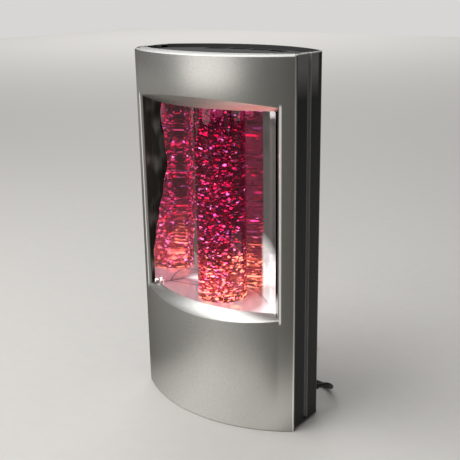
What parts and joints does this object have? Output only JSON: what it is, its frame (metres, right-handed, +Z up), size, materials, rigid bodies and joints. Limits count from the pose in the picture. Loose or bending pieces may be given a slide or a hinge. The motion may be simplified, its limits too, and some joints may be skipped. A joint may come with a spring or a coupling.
{
  "type": "glitter lamp",
  "caption": "Free-standing glitter lamp: bowed silver front with an arched window, black casing, mirrored niche, liquid-filled tube over a bulb, and a cord with rocker switch.",
  "frame": {"origin": "centre of the casing's bounding box, on the floor that the feet stand on", "axes": "+Z up, -Y out of the front window, +X to the right of someone who looks at the window"},
  "size_m": [0.2275, 0.2202, 0.38],
  "materials": {
    "silver": "satin metallic paint",
    "black_gloss": "gloss",
    "dark_plate": "matt",
    "rubber": "matt",
    "mirror": "mirror film",
    "chamber_black": "matt",
    "clear": "clear",
    "liquid": "tinted liquid with flakes",
    "flakes": "metallised foil",
    "bulb": "frosted",
    "brass": "plain",
    "holder": "plain",
    "steel": "zinc",
    "wire": "insulated",
    "cord": "matt",
    "switch": "satin"
  },
  "bodies": {
    "lamp": {"front_shell": "silver", "front_frame": "black_gloss", "rear_cover": "black_gloss", "top_plate": "dark_plate", "base_plate": "dark_plate", "rubber_feet": "rubber", "mirror_sheet": "mirror", "chamber_floor": "mirror", "chamber_ceiling": "chamber_black", "tube_seat": "chamber_black", "tube_collar": "chamber_black", "tube_cap": "chamber_black", "glitter_tube": "clear", "glitter_liquid": "liquid", "glitter_flakes": "flakes", "bulb_glass": "bulb", "bulb_cap": "brass", "switch_contacts": "brass", "plug_pins": "brass", "lampholder": "holder", "terminal_block": "holder", "cord_clamp": "holder", "holder_bracket": "steel", "clamp_screws": "steel", "cover_screws": "steel", "plate_screws": "steel", "switch_screws": "steel", "lamp_wires": "wire", "inner_lead": "cord", "cord_gland": "cord", "cord_run": "cord", "cord_coil": "cord", "cord_tail": "cord", "cord_tie": "cord", "switch_base": "switch", "switch_cover": "switch", "plug_body": "switch"},
    "rocker": {"switch_rocker": "switch"}
  },
  "joints": [
    {"name": "rocker_tilt", "type": "hinge", "parent": "lamp", "child": "rocker", "pos_m": [-0.022, 0.078, 0.0125], "axis": [0, 1, 0], "range_deg": [0, 16]}
  ]
}
